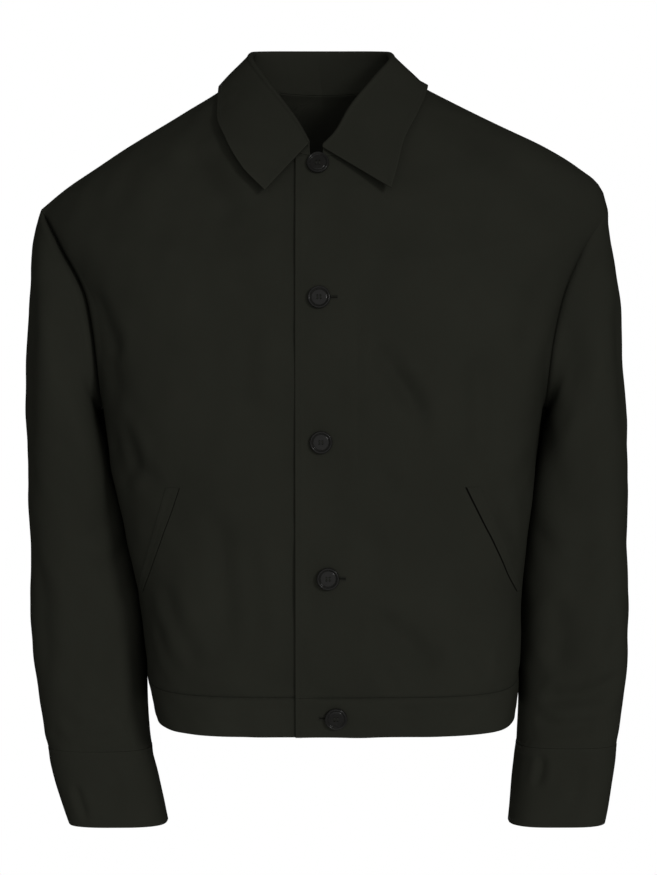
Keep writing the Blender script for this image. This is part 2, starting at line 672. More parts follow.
rows = body_rows()
front_middle, front_ends = row_ends("front", rows)
tip_row = (SIDE_ROWS + ARMHOLE_ROWS) / (len(rows) - 1)
shoulder_span = (tip_row + 0.01, 0.99)  # the share of a side edge that the shoulder's stitches run along
plain, surfaces = {}, {}
for side, outward, start_x, name in (
    ("left", 1.0, OVER_EDGE_X, "left_front"),
    ("right", -1.0, UNDER_EDGE_X, "right_front"),
):
    flat_rows = half_rows("front", side, start_x, front_middle, front_ends[side], FRONT_COLUMNS)
    plain[name] = lapped(flat_rows, side)
    creases = body_creases(FRONT_CREASES[side], "front")
    shape = hung(plain[name], outward, False, creases)
    sinks = (
        (plain[name][SIDE_ROWS + ARMHOLE_ROWS : SIDE_ROWS - 1 : -1, -1], side),
        (plain[name][0], "hem_front"),
    )
    panel, surfaces[name] = cloth_wall(name, shape, outward, CLOTH, False, sinks)
    panel.data.materials.append(twill_cloth)
    lines = [
        inset(surfaces[name], "last_column", EDGE_STITCH, shoulder_span),
        inset(surfaces[name], "first_row", EDGE_STITCH),
    ]
    if side == "left":
        lines.append(inset(surfaces[name], "first_column", TOP_STITCH, OPENING_SPAN))
        lines.append(inset(surfaces[name], "first_column", FACING_STITCH, FACING_SPAN))
    thread = sewn(f"{name}_stitches", lines)
    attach(panel, "root")
    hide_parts(f"front_{side}")

# ---- The back
# One panel of the same twill, from the hem band's seam to the neckline, cut in one piece with no yoke.
# It hangs from the shoulder seams in soft folds that fall from the shoulder blades to the hem band.
BACK_COLUMNS = 96
SIDE_SPAN = (0.01, 0.32)  # the share of a side edge that the side seam's stitches run along
BACK_CREASES = (
    (0.028, 0.0050, ((-0.060, -0.230), (-0.085, -0.340), (-0.110, -0.460))),
    (0.030, 0.0050, ((0.080, -0.210), (0.102, -0.320), (0.120, -0.440))),
    (0.030, 0.0040, ((0.010, -0.300), (-0.004, -0.400), (-0.020, -0.500))),
    (0.011, 0.0016, ((-0.140, -0.120), (-0.128, -0.210), (-0.136, -0.330))),
    (0.010, 0.0014, ((0.150, -0.130), (0.140, -0.220), (0.150, -0.320))),
    (0.010, 0.0015, ((-0.064, -0.240), (-0.088, -0.350), (-0.104, -0.450))),
    (0.010, 0.0013, ((0.084, -0.220), (0.104, -0.330), (0.116, -0.430))),
    (0.009, 0.0012, ((-0.030, -0.390), (-0.036, -0.450), (-0.050, -0.515))),
    (0.009, 0.0012, ((0.048, -0.400), (0.054, -0.460), (0.062, -0.515))),
    (0.012, 0.0013, ((-0.090, -0.035), (-0.055, -0.060), (-0.010, -0.066))),
    (0.012, 0.0013, ((0.100, -0.040), (0.060, -0.062), (0.020, -0.068))),
)
back_middle, back_ends = row_ends("back", rows)
back_halves = [
    half_rows("back", side, middle_x(back_middle), back_middle, back_ends[side], BACK_COLUMNS)
    for side in ("right", "left")
]
plain["back_panel"] = np.concatenate([back_halves[0][:, ::-1], back_halves[1][:, 1:]], axis=1)
back_shape = hung(plain["back_panel"], -1.0, False, body_creases(BACK_CREASES, "back"))
back_armholes = {
    side: plain["back_panel"][SIDE_ROWS + ARMHOLE_ROWS : SIDE_ROWS - 1 : -1, edge]
    for side, edge in (("right", 0), ("left", -1))
}
sinks = (
    (back_armholes["right"], "behind"),
    (back_armholes["left"], "behind"),
    (plain["back_panel"][0], "hem_back"),
)
back_panel, surfaces["back_panel"] = cloth_wall("back_panel", back_shape, -1.0, CLOTH, False, sinks)
back_panel.data.materials.append(twill_cloth)
back_lines = [inset(surfaces["back_panel"], "first_row", EDGE_STITCH)]
for span in (SIDE_SPAN, shoulder_span):
    for edge in ("last_column", "first_column"):
        back_lines.append(inset(surfaces["back_panel"], edge, TOP_STITCH, span))
back_thread = sewn("back_stitches", back_lines)
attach(back_panel, "root")
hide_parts("back")

# ---- The sleeves
# Each sleeve is one panel of the twill joined along the underarm into a tube that bends a little at the
# elbow. It is set into the armhole with a plain felled seam and hangs just clear of the body.
SLEEVE_COLUMNS = ("outer", "outer_height", "inner", "inner_height", "middle", "half_depth")
SLEEVES = {
    "right": (
        (0.2567, -0.1046, 0.1995, -0.2850, 0.001, 0.054),
        (0.2605, -0.1138, 0.2044, -0.2860, 0.002, 0.057),
        (0.2630, -0.1260, 0.2062, -0.2910, 0.003, 0.062),
        (0.2654, -0.1500, 0.2022, -0.3025, 0.006, 0.069),
        (0.2663, -0.1900, 0.1970, -0.3180, 0.010, 0.075),
        (0.2682, -0.2400, 0.1931, -0.3380, 0.014, 0.078),
        (0.2700, -0.2950, 0.1881, -0.3650, 0.018, 0.078),
        (0.2707, -0.3500, 0.1820, -0.3950, 0.021, 0.075),
        (0.2704, -0.4050, 0.1744, -0.4300, 0.022, 0.069),
        (0.2696, -0.4550, 0.1682, -0.4650, 0.018, 0.062),
        (0.2670, -0.5050, 0.1642, -0.5080, 0.010, 0.055),
        (0.2606, -0.5500, 0.1630, -0.5500, 0.002, 0.048),
        (0.2520, -0.5980, 0.1588, -0.5980, -0.008, 0.040),
        (0.2446, -0.6280, 0.1512, -0.6300, -0.012, 0.036),
        (0.2322, -0.6680, 0.1430, -0.6680, -0.015, 0.033),
    ),
    "left": (
        (0.2615, -0.1046, 0.2020, -0.2850, 0.001, 0.054),
        (0.2624, -0.1138, 0.2060, -0.2856, 0.002, 0.057),
        (0.2638, -0.1260, 0.2077, -0.2905, 0.003, 0.062),
        (0.2668, -0.1500, 0.2042, -0.3020, 0.006, 0.069),
        (0.2710, -0.1900, 0.2007, -0.3180, 0.010, 0.075),
        (0.2752, -0.2400, 0.1980, -0.3380, 0.014, 0.078),
        (0.2788, -0.2950, 0.1945, -0.3650, 0.018, 0.078),
        (0.2815, -0.3500, 0.1907, -0.3950, 0.021, 0.075),
        (0.2830, -0.4050, 0.1865, -0.4300, 0.022, 0.069),
        (0.2836, -0.4550, 0.1832, -0.4650, 0.018, 0.062),
        (0.2819, -0.5050, 0.1824, -0.5080, 0.010, 0.055),
        (0.2771, -0.5500, 0.1834, -0.5500, 0.002, 0.048),
        (0.2712, -0.5950, 0.1810, -0.5950, -0.008, 0.040),
        (0.2665, -0.6280, 0.1777, -0.6280, -0.012, 0.036),
        (0.2598, -0.6680, 0.1740, -0.6680, -0.015, 0.033),
    ),
}
CUFF_TABLE_ROWS = 2
CUFF_SEAM = len(SLEEVES["left"]) - 1 - CUFF_TABLE_ROWS  # the place in both tables where the cuff is sewn on
SLEEVE_SQUARENESS, ARMHOLE_REACH = 2.8, 4.0
SLEEVE_RINGS, MEASURING_PLACES = 156, 600
# The sleeves' creases: half width, depth, then turn in degrees and height of each point. The turn goes
# from the outside, 0, round the front, 90, to the inside, 180, and the back, 270.
SLEEVE_CREASES = {
    "right": (
        (0.018, -0.0036, ((150, -0.330), (148, -0.420), (150, -0.520))),
        (0.010, 0.0030, ((112, -0.500), (104, -0.545), (88, -0.572))),
        (0.007, 0.0026, ((60, -0.568), (92, -0.576), (122, -0.566))),
        (0.008, 0.0014, ((30, -0.578), (62, -0.588), (100, -0.590))),
        (0.012, 0.0030, ((40, -0.160), (30, -0.240), (38, -0.330))),
        (0.013, 0.0026, ((86, -0.200), (96, -0.262), (120, -0.318))),
        (0.012, 0.0018, ((150, -0.360), (120, -0.392), (86, -0.404))),
        (0.010, 0.0014, ((160, -0.400), (128, -0.420), (100, -0.446))),
        (0.012, 0.0030, ((44, -0.420), (52, -0.480), (48, -0.545))),
        (0.012, 0.0022, ((270, -0.200), (262, -0.270), (240, -0.330))),
        (0.011, 0.0020, ((300, -0.360), (268, -0.384), (236, -0.372))),
        (0.010, 0.0016, ((316, -0.410), (280, -0.426), (246, -0.412))),
        (0.010, 0.0016, ((284, -0.470), (276, -0.530), (290, -0.572))),
        (0.008, 0.0018, ((236, -0.566), (268, -0.578), (306, -0.572))),
        (0.011, 0.0014, ((338, -0.300), (346, -0.380), (340, -0.470))),
    ),
    "left": (
        (0.020, -0.0048, ((148, -0.300), (146, -0.380), (148, -0.470))),
        (0.009, 0.0046, ((36, -0.520), (80, -0.546), (128, -0.552))),
        (0.008, 0.0026, ((60, -0.566), (96, -0.574), (136, -0.568))),
        (0.016, 0.0024, ((70, -0.352), (84, -0.398), (98, -0.430))),
        (0.012, 0.0018, ((120, -0.330), (104, -0.372), (78, -0.392))),
        (0.012, 0.0022, ((38, -0.170), (32, -0.250), (40, -0.330))),
        (0.012, 0.0026, ((92, -0.210), (100, -0.262), (118, -0.316))),
        (0.010, 0.0024, ((110, -0.450), (100, -0.490), (104, -0.530))),
        (0.009, 0.0022, ((62, -0.460), (56, -0.500), (62, -0.528))),
        (0.012, 0.0022, ((268, -0.196), (258, -0.260), (238, -0.322))),
        (0.011, 0.0020, ((304, -0.352), (270, -0.378), (238, -0.366))),
        (0.010, 0.0016, ((312, -0.402), (276, -0.420), (240, -0.404))),
        (0.010, 0.0016, ((280, -0.460), (288, -0.510), (276, -0.556))),
        (0.008, 0.0020, ((232, -0.560), (270, -0.572), (310, -0.564))),
        (0.011, 0.0014, ((342, -0.290), (336, -0.370), (344, -0.460))),
    ),
}


def sleeve_rings(side, at, loop):
    """Rings of the sleeve at these places of its table, with the armhole's own outline at the top."""
    table = SLEEVES[side]
    steps = np.arange(len(table), dtype=float)
    count = len(loop)

    def plain_rings(at):
        v = {name: smooth(steps, column(SLEEVE_COLUMNS, table, name))(at) for name in SLEEVE_COLUMNS}
        sign = SIDES[side]
        outer = np.stack([sign * v["outer"], v["middle"], v["outer_height"]], axis=-1)
        inner = np.stack([sign * v["inner"], v["middle"], v["inner_height"]], axis=-1)
        turn = 2 * np.pi * np.arange(count) / count
        c, s = np.cos(turn), np.sin(turn)
        power = 2 / SLEEVE_SQUARENESS
        c, s = np.sign(c) * np.abs(c) ** power, np.sign(s) * np.abs(s) ** power
        points = ((outer + inner) / 2)[:, None] + ((outer - inner) / 2)[:, None] * c[None, :, None]
        points[..., 1] -= v["half_depth"][:, None] * s[None]
        return points

    own_outline = loop - plain_rings(np.array([0.0]))[0]
    return plain_rings(at) + own_outline[None] * (1 - fade(at / ARMHOLE_REACH))[:, None, None]


def even_places(side, low, high, count):
    """Places in the sleeve's table from low to high that lie evenly along the cloth."""
    table, dense = SLEEVES[side], np.linspace(low, high, MEASURING_PLACES)
    steps = np.arange(len(table), dtype=float)
    middle = [
        smooth(steps, (column(SLEEVE_COLUMNS, table, a) + column(SLEEVE_COLUMNS, table, b)) / 2)(dense)
        for a, b in (("outer", "inner"), ("outer_height", "inner_height"))
    ]
    reach = np.concatenate([[0], np.cumsum(np.hypot(*np.diff(middle, axis=1)))])
    return np.interp(np.linspace(0, reach[-1], count), reach, dense)


def ring_turns(grid):
    """The turn of each column of a sleeve, in degrees."""
    return 360 * np.arange(grid.shape[1]) / grid.shape[1]


def sleeve_creases(grid, table):
    """A table's creases as lines on the sleeve, found by their turn and height."""
    lines, turns = [], ring_turns(grid)
    for half, depth, places in table:
        turn, z = np.array(places, float).T
        at, steps = np.linspace(0, len(turn) - 1, CREASE_POINTS), np.arange(len(turn))
        line = []
        for degrees, height in zip(smooth(steps, turn)(at), smooth(steps, z)(at)):
            around = int(np.argmin(np.abs(turns - degrees)))
            line.append(grid[int(np.argmin(np.abs(grid[:, around, 2] - height))), around])
        line = np.array(line)
        line[1:-1] = (line[:-2] + 2 * line[1:-1] + line[2:]) / 4
        lines.append((half, depth, line))
    return lines


INNER_CALM, CALM_SHARE = 32.0, 0.9  # the sleeve stays plain beside the body: over how many degrees, how much
armhole_loops = {}
for side, outward in (("left", 1.0), ("right", -1.0)):
    front, back = plain[f"{side}_front"], plain["back_panel"]
    first, last = SIDE_ROWS, SIDE_ROWS + ARMHOLE_ROWS
    down = front[last : first - 1 : -1, -1]
    up = back[first + 1 : last, 0 if side == "right" else -1]
    armhole_loops[side] = np.concatenate([down, up])
    name = f"{side}_sleeve"
    plain[name] = sleeve_rings(side, even_places(side, 0.0, CUFF_SEAM, SLEEVE_RINGS), armhole_loops[side])
    free = 1 - CALM_SHARE * np.exp(-(((ring_turns(plain[name]) - 180) / INNER_CALM) ** 2))
    shape = hung(plain[name], outward, True, sleeve_creases(plain[name], SLEEVE_CREASES[side]), free)
    sinks = ((down, side), (back_armholes[side], "behind"))
    sleeve, surfaces[name] = cloth_wall(name, shape, outward, CLOTH, True, sinks)
    sleeve.data.materials.append(twill_cloth)
    thread = sewn(
        f"{name}_stitches",
        [inset(surfaces[name], "last_row", EDGE_STITCH), inset(surfaces[name], "first_row", TOP_STITCH)],
    )
    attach(sleeve, "root")
    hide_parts(f"sleeve_{side}")

# ---- The cuffs
# Each cuff is a doubled band of the twill, folded along its lower edge and topstitched all round. It
# opens at a slit on the outer front, which is pressed shut, and no button of it shows.
CUFF_RINGS, CUFF_WANDER = 26, 0.6
CUFF_INNER_STITCH, CUFF_FOLD_STITCH = 0.0070, 0.0045
CUFF_CREASES = {
    "right": (
        (0.0040, 0.0022, ((62, -0.626), (62, -0.642), (62, -0.6655))),
        (0.0060, 0.0012, ((92, -0.604), (98, -0.630), (90, -0.656))),
        (0.0080, 0.0010, ((250, -0.604), (256, -0.630), (246, -0.658))),
    ),
    "left": (
        (0.0045, 0.0026, ((116, -0.597), (115, -0.615), (117, -0.634))),
        (0.0060, 0.0012, ((84, -0.606), (80, -0.630), (86, -0.656))),
        (0.0080, 0.0010, ((286, -0.604), (280, -0.630), (288, -0.658))),
    ),
}


def pressed(grid, outward, wraps, creases, wander):
    """A doubled band with its creases and this much of the cloth's wander, held along its upper edge."""
    push = crease_push(grid, creases) + wander * rippled(grid)
    held = fade(reach_along(grid, 0) / SEAM_HOLD)
    return grid + facing(grid, outward, wraps) * (push * held)[..., None]


for side, outward in (("left", 1.0), ("right", -1.0)):
    name = f"{side}_cuff"
    at = even_places(side, CUFF_SEAM, CUFF_SEAM + CUFF_TABLE_ROWS, CUFF_RINGS)
    plain[name] = sleeve_rings(side, at, armhole_loops[side])
    creases = sleeve_creases(plain[name], CUFF_CREASES[side])
    shape = pressed(plain[name], outward, True, creases, CUFF_WANDER)
    cuff, surfaces[name] = cloth_wall(name, shape, outward, DOUBLED, True)
    cuff.data.materials.append(twill_cloth)
    thread = sewn(
        f"{name}_stitches",
        [
            inset(surfaces[name], "first_row", EDGE_STITCH),
            inset(surfaces[name], "first_row", CUFF_INNER_STITCH),
            inset(surfaces[name], "last_row", CUFF_FOLD_STITCH),
        ],
    )
    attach(cuff, "root")
    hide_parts(f"cuff_{side}")

# ---- The hem band
# A doubled strip of the twill, sewn to the lower edge of the fronts and the back, and stitched along
# both of its edges. Its left end laps over the right one and takes the lowest button.
BAND_ROWS, BAND_WANDER = 14, 0.8
BAND_CREASES = (
    (0.012, 0.0012, ((-0.080, -0.536), (-0.078, -0.552), (-0.082, -0.566))),
    (0.010, 0.0010, ((0.068, -0.536), (0.072, -0.552), (0.070, -0.566))),
    (0.014, 0.0012, ((0.128, -0.532), (0.126, -0.548), (0.130, -0.562))),
)
down = np.arange(BAND_ROWS + 1) / BAND_ROWS
band_middle = BAND_MIDDLE + (HEM_MIDDLE - BAND_MIDDLE) * down
band_side = BAND_SIDE + (HEM_SIDE - BAND_SIDE) * down
band_halves = {}
for side, edge_x in (("left", OVER_EDGE_X), ("right", UNDER_EDGE_X)):
    end = (SIDES[side] * half_width(band_side) + middle_x(band_side), band_side)
    front = lapped(half_rows("front", side, edge_x, band_middle, end, FRONT_COLUMNS), side)
    back = half_rows("back", side, middle_x(band_middle), band_middle, end, BACK_COLUMNS)
    band_halves[side] = np.concatenate([front[:, :-1], back[:, ::-1]], axis=1)
plain["hem_strip"] = np.concatenate([band_halves["left"], band_halves["right"][:, -2::-1]], axis=1)
band_shape = pressed(plain["hem_strip"], -1.0, False, body_creases(BAND_CREASES, "front"), BAND_WANDER)
sinks = (
    (plain["left_front"][0], "hem_front"),
    (plain["right_front"][0], "hem_front"),
    (plain["back_panel"][0], "hem_back"),
)
hem_strip, surfaces["hem_strip"] = cloth_wall("hem_strip", band_shape, -1.0, DOUBLED, False, sinks)
hem_strip.data.materials.append(twill_cloth)
band_thread = sewn(
    "hem_strip_stitches",
    [
        inset(surfaces["hem_strip"], "first_row", EDGE_STITCH),
        inset(surfaces["hem_strip"], "last_row", TOP_STITCH),
        inset(surfaces["hem_strip"], "first_column", TOP_STITCH),
    ],
)
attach(hem_strip, "root")
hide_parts("hem_band")

# ---- The collar
# A turned-down collar of two layers of twill with a stiffener between them. It stands up from the
# neckline, rolls over and lies on the shoulders, with two pointed leaves stitched along their edges.
COLLAR_COLUMNS = ("place", "roll_x", "roll_y", "roll_z", "edge_x", "edge_y", "edge_z")
COLLAR = (
    (0.000, 0.0010, -0.0885, -0.0505, 0.0611, -0.1120, -0.0867),
    (0.035, 0.0118, -0.0840, -0.0391, 0.0665, -0.1050, -0.0680),
    (0.100, 0.0254, -0.0720, -0.0160, 0.0720, -0.0930, -0.0460),
    (0.190, 0.0482, -0.0430, 0.0121, 0.0860, -0.0620, -0.0180),
    (0.280, 0.0640, -0.0080, 0.0320, 0.0965, -0.0080, 0.0045),
    (0.350, 0.0620, 0.0280, 0.0382, 0.0915, 0.0400, 0.0000),
    (0.425, 0.0350, 0.0540, 0.0405, 0.0540, 0.0810, -0.0120),
    (0.500, 0.0000, 0.0620, 0.0410, 0.0000, 0.0930, -0.0160),
    (0.575, -0.0370, 0.0540, 0.0405, -0.0540, 0.0810, -0.0120),
    (0.650, -0.0640, 0.0280, 0.0382, -0.0890, 0.0400, 0.0000),
    (0.720, -0.0655, -0.0080, 0.0325, -0.0935, -0.0080, 0.0072),
    (0.810, -0.0530, -0.0380, 0.0130, -0.0940, -0.0510, -0.0192),
    (0.900, -0.0378, -0.0580, -0.0069, -0.0850, -0.0800, -0.0430),
    (0.965, -0.0210, -0.0760, -0.0300, -0.0700, -0.0990, -0.0680),
    (1.000, -0.0115, -0.0860, -0.0470, -0.0500, -0.1100, -0.0885),
)
COLLAR_FOLD, COLLAR_BULGE, COLLAR_CLEARANCE = 0.0022, 0.0012, 0.0046
COLLAR_START_X, COLLAR_END_X = 0.0010, -0.0110
COLLAR_WALL, FOOT_LIFT = 0.0019, 0.0002
STAND_STEPS, FOLD_STEPS, FALL_STEPS = 10, 8, 26
LEAF_END_SPAN, LEAF_EDGE_SPAN = (0.36, 0.93), (0.004, 0.996)  # the share that the leaves' stitches run along


def clear_of_body(points, clearance):
    """The points, moved out of the body or up off its shoulders until they are clear."""
    x, y, z = points.T
    back = y >= 0
    square = body["squareness"](z)
    roundness = np.where(back, CREST["back"], CREST["front"])
    across = np.minimum(np.abs(x - middle_x(z)) / half_width(z), 1.0)
    depth = np.where(back, body["back"](z), body["front"](z)) * (1 - across**square) ** (1 / square)
    depth = depth + clearance
    reach = crest_at(x) + clearance - SHOULDER_START
    lean = np.minimum(np.abs(y) / depth, 1.0)
    height = np.clip((z - SHOULDER_START) / reach, 0.0, 1.0)
    up = SHOULDER_START + reach * (1 - lean**roundness) ** (1 / roundness) - z
    out = depth * (1 - height**roundness) ** (1 / roundness) - np.abs(y)
    inside = np.minimum(out, up) > 0
    y = np.where(inside & (out < up), y + np.where(back, out, -out), y)
    z = np.where(inside & (out >= up), z + up, z)
    return np.stack([x, y, z], axis=1)


def on_front(side, x, z):
    """The point of one lapped front at this place of the front view, as the only one of a list."""
    return lapped(on_body(np.array([x]), np.array([z]), "front"), side)


over_neck, under_neck = plain["left_front"][-1], plain["right_front"][-1]
over_neck = over_neck[over_neck[:, 0] > COLLAR_START_X]
under_neck = under_neck[under_neck[:, 0] < COLLAR_END_X]
neck_start = on_front("left", COLLAR_START_X, NECK_MIDDLE["front"])
neck_end = on_front("right", COLLAR_END_X, NECK_MIDDLE["front"])
neckline = np.concatenate(
    [neck_start, over_neck[:-1], plain["back_panel"][-1][::-1], under_neck[-2::-1], neck_end]
)
neck_share = reach_along(neckline, 0) / reach_along(neckline, 0)[-1]
collar_places = column(COLLAR_COLUMNS, COLLAR, "place")
collar_runs = [
    smooth(collar_places, column(COLLAR_COLUMNS, COLLAR, label))(neck_share) for label in COLLAR_COLUMNS[1:]
]
roll, leaf_edge = np.stack(collar_runs[:3], axis=1), np.stack(collar_runs[3:], axis=1)
upright = np.array([0.0, 0.0, 1.0])
away = unit(roll * np.array([1.0, 1.0, 0.0]))
foot = neckline + upright * FOOT_LIFT
stand_top, fall_top = roll - away * COLLAR_FOLD, roll + away * COLLAR_FOLD
collar_lines = [foot + (stand_top - foot) * k / STAND_STEPS for k in range(STAND_STEPS)]
for k in range(FOLD_STEPS + 1):
    turn = math.pi * k / FOLD_STEPS
    collar_lines.append(roll + COLLAR_FOLD * (math.sin(turn) * upright - math.cos(turn) * away))
for k in range(1, FALL_STEPS + 1):
    t = k / FALL_STEPS
    bulge = away * COLLAR_BULGE * math.sin(math.pi * t)
    collar_lines.append(clear_of_body(fall_top + (leaf_edge - fall_top) * t + bulge, COLLAR_CLEARANCE))
collar_grid = np.stack(collar_lines, axis=1)
turned_collar, surfaces["turned_collar"] = cloth_wall("turned_collar", collar_grid, 1.0, COLLAR_WALL)
turned_collar.data.materials.append(twill_cloth)
collar_thread = sewn(
    "turned_collar_stitches",
    [
        inset(surfaces["turned_collar"], "last_column", TOP_STITCH, LEAF_EDGE_SPAN),
        inset(surfaces["turned_collar"], "first_row", TOP_STITCH, LEAF_END_SPAN),
        inset(surfaces["turned_collar"], "last_row", TOP_STITCH, LEAF_END_SPAN),
    ],
)
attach(turned_collar, "root")
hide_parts("collar")

# ---- The pockets
# Slanted welt pockets: a narrow doubled strip stands along the outer side of each mouth, stitched down
# round its edges, and a facing of the same cloth closes the dark slot beside it.
POCKETS = {
    "right": ((0.1252, -0.3500), (0.1600, -0.4470)),
    "left": ((0.1275, -0.3493), (0.1740, -0.4470)),
}
WELT, WELT_TURN, WELT_RISE, WELT_STITCH = 0.0004, 0.088, 0.00027, 0.0018
MOUTH_TURN = {"right": 0.004, "left": 0.010}  # the slot beside the welt, as an angle round the body
MOUTH, MOUTH_RISE, MOUTH_OVERLAP = 0.0002, 0.00012, 0.013
WELT_ROWS, WELT_COLUMNS, MOUTH_COLUMNS = 48, 12, 4
mouth_cloth = cloth_material("pocket_mouth_shade", (0.0022, 0.0022, 0.0018), 0.0, 0.95)
welt_cloth = cloth_material("unworn_twill", TWILL_COLOUR, 0.0)


def pocket_strip(side, first, width, columns):
    """A strip of the front's own surface beside the pocket mouth, from first to first plus width in turn."""
    (top_x, top_z), (foot_x, foot_z) = POCKETS[side]
    sign = SIDES[side]
    t = np.linspace(0, 1, WELT_ROWS + 1)
    z = top_z + (foot_z - top_z) * t
    mouth = turn_of(sign * (top_x + (foot_x - top_x) * t), z, side)
    turn = np.minimum(mouth[:, None] + first + width * np.arange(columns + 1) / columns, math.pi / 2)
    heights = z[:, None] + np.zeros_like(turn)
    return on_body(middle_x(heights) + sign * half_width(heights) * np.sin(turn), heights, "front")


def laid_on(strip, outward, creases, rise, half_wall):
    """A strip laid on the front's cloth, with the front's own creases and wander."""
    push = crease_push(strip, creases) + rippled(strip)
    return strip + facing(strip, outward, False) * (push + CLOTH / 2 + rise + half_wall)[..., None]


for side in SIDES:
    outward = -SIDES[side]
    creases = body_creases(FRONT_CREASES[side], "front")
    welt_name, mouth_name = f"{side}_pocket_welt", f"{side}_pocket_mouth"
    strip = pocket_strip(side, 0.0, WELT_TURN, WELT_COLUMNS)
    welt_shape = laid_on(strip, outward, creases, WELT_RISE, WELT / 2)
    welt, welt_surface = cloth_wall(welt_name, welt_shape, outward, WELT)
    welt.data.materials.append(welt_cloth)
    strip = pocket_strip(side, -MOUTH_TURN[side], MOUTH_TURN[side] + MOUTH_OVERLAP, MOUTH_COLUMNS)
    mouth = cloth_wall(mouth_name, laid_on(strip, outward, creases, MOUTH_RISE, 0.0), outward, MOUTH)[0]
    mouth.data.materials.append(mouth_cloth)
    welt_thread = sewn(
        f"{welt_name}_stitches",
        [
            inset(welt_surface, "last_column", WELT_STITCH),
            inset(welt_surface, "first_row", EDGE_STITCH),
            inset(welt_surface, "last_row", EDGE_STITCH),
        ],
    )
    for thing in (welt, mouth):
        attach(thing, "root")
    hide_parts(f"pocket_welt_{side}")

# ---- The buttons and their holes
# Five turned buttons with a raised rim, a groove inside it and a flat middle with four holes, sewn on
# with two upright bars of thread. Four go through holes worked in thread along the left front's edge,
# and the lowest goes through one in the end of the hem band.
BUTTONS = (
    (-0.0033, -0.0646),
    (-0.0023, -0.1821),
    (-0.0006, -0.3087),
    (0.0056, -0.4287),
    (0.0126, -0.5533),
)
BUTTON_PROFILE = (
    (0.0084, 0.0000),
    (0.0094, 0.0003),
    (0.0099, 0.0009),
    (0.0100, 0.0015),
    (0.0099, 0.0022),
    (0.0096, 0.0028),
    (0.0091, 0.0031),
    (0.0086, 0.0031),
    (0.0081, 0.0028),
    (0.0077, 0.0023),
    (0.0074, 0.0020),
    (0.0071, 0.0019),
    (0.0068, 0.0021),
    (0.0062, 0.0022),
    (0.0040, 0.0021),
    (0.0000, 0.0020),
)
BUTTON_SIDES, BUTTON_GAP, RIM_RADIUS = 72, 0.0004, 0.009
HOLE_RADIUS, HOLE_PLACE = 0.0009, 0.0019
HOLE_FLOOR, DRILL_TOP = 0.0007, 0.006  # the holes end just above the button's back, so they are blind
STRAND_RADIUS, STRAND_GAP = 0.00027, 0.00042  # three strands lie side by side in each bar
BAR_RISE, BAR_FALL, BAR_PAST_HOLE = 0.0022, 0.0006, 0.0002
OUTER_STRAND_DROP = 0.25  # how much lower an outer strand lies, as a share of how far out it is
SHANK_RADIUS, SHANK_TOP, SHANK_DIP = 0.0016, 0.0006, 0.0002
SLOTS = ((-0.004, 0.0095), (0.004, 0.0165), (-0.003, 0.0105), (0.004, 0.0160), (-0.0155, 0.004))
SLOT_POINTS, SLOT_RADIUS, SLOT_LIFT = 24, 0.00030, 0.00002
HOLE_STITCH_PITCH, HOLE_STITCH, HOLE_STITCH_OFF, HOLE_STITCH_LIFT = 0.00046, 0.0018, 0.0011, 0.0001

polish, polish_tree, polish_shader = new_material("dark_polished_button")
polish_place = node(polish_tree, "ShaderNodeTexCoord").outputs["Object"]
swirl = clouded(polish_tree, 260.0, 3.0, place=polish_place)
swirl_colour = between(polish_tree, swirl, (0.0050, 0.0050, 0.0046), (0.0095, 0.0092, 0.0083))
polish_tree.links.new(swirl_colour, polish_shader.inputs["Base Color"])
swirl_rough = mapped(polish_tree, swirl, (0.0, 1.0), (0.12, 0.22))
polish_tree.links.new(swirl_rough, polish_shader.inputs["Roughness"])
polish_shader.inputs["Specular IOR Level"].default_value = 0.07


def turned(name, profile, sides):
    """A disc with a flat back at height 0, turned to the profile, whose last point is its middle."""
    turns = 2 * np.pi * np.arange(sides) / sides
    radius, height = np.array(profile[:-1]).T
    places = [radius[:, None] * np.cos(turns), radius[:, None] * np.sin(turns), height[:, None] + 0 * turns]
    rings = np.stack(places, axis=-1)
    points = np.concatenate([rings.reshape(-1, 3), [[0, 0, profile[-1][1]]]])
    index = np.arange(len(radius) * sides).reshape(-1, sides)
    around = np.concatenate([index, index[:, :1]], axis=1)
    faces = quads(around[:-1, :-1], around[:-1, 1:], around[1:, 1:], around[1:, :-1]).tolist()
    faces += [(int(a), int(b), len(points) - 1) for a, b in zip(around[-1, :-1], around[-1, 1:])]
    faces.append(tuple(reversed(index[0].tolist())))
    mesh = bpy.data.meshes.new(name)
    mesh.from_pydata(points, [], faces)
    return mesh


def rod(start, end, radius, sides=8):
    """Points and faces of a straight closed rod."""
    start, end = np.array(start, float), np.array(end, float)
    run = unit(end - start)
    side = unit(np.cross(run, [0.31, 0.83, 0.46]))
    top = np.cross(run, side)
    turns = 2 * np.pi * np.arange(sides) / sides
    ring = radius * (np.cos(turns)[:, None] * side + np.sin(turns)[:, None] * top)
    points = np.concatenate([start + ring, end + ring])
    faces = [(k, (k + 1) % sides, sides + (k + 1) % sides, sides + k) for k in range(sides)]
    return points, [*faces, tuple(reversed(range(sides))), tuple(range(sides, 2 * sides))]


def joined_mesh(name, parts):
    points, faces, first = [], [], 0
    for part_points, part_faces in parts:
        points.append(part_points)
        faces += [tuple(corner + first for corner in face) for face in part_faces]
        first += len(part_points)
    mesh = bpy.data.meshes.new(name)
    mesh.from_pydata(np.concatenate(points), [], faces)
    return mesh


def over_front(x, z):
    return on_front("left", x, z)[0]


